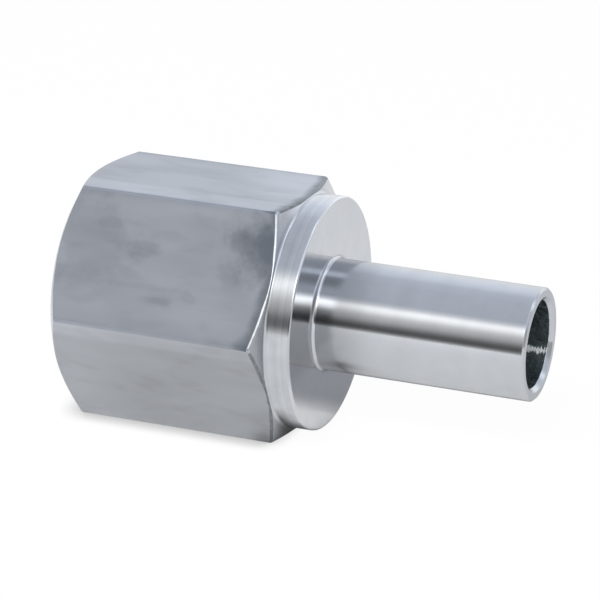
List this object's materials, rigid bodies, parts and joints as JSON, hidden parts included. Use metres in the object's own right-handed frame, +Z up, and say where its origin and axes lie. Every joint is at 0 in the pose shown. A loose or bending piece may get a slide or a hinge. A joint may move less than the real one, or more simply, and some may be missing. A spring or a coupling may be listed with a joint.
{
  "type": "female pipe adapter",
  "caption": "Hexagon pipe adapter turned from bar: a female taper pipe port in one end and a plain tube stub behind a round collar on the other, with a bore right through.",
  "frame": {"origin": "on the surface that the adapter lies on, below the middle of its length", "axes": "+X along the axis, out of the tube stub; +Z up, away from the flat that it lies on; +Y across the corners"},
  "size_m": [0.0534, 0.031, 0.027],
  "materials": {
    "body": "satin hexagon flats, fine turned collar and stub"
  },
  "bodies": {
    "root": {"adapter_body": "body"}
  },
  "joints": []
}
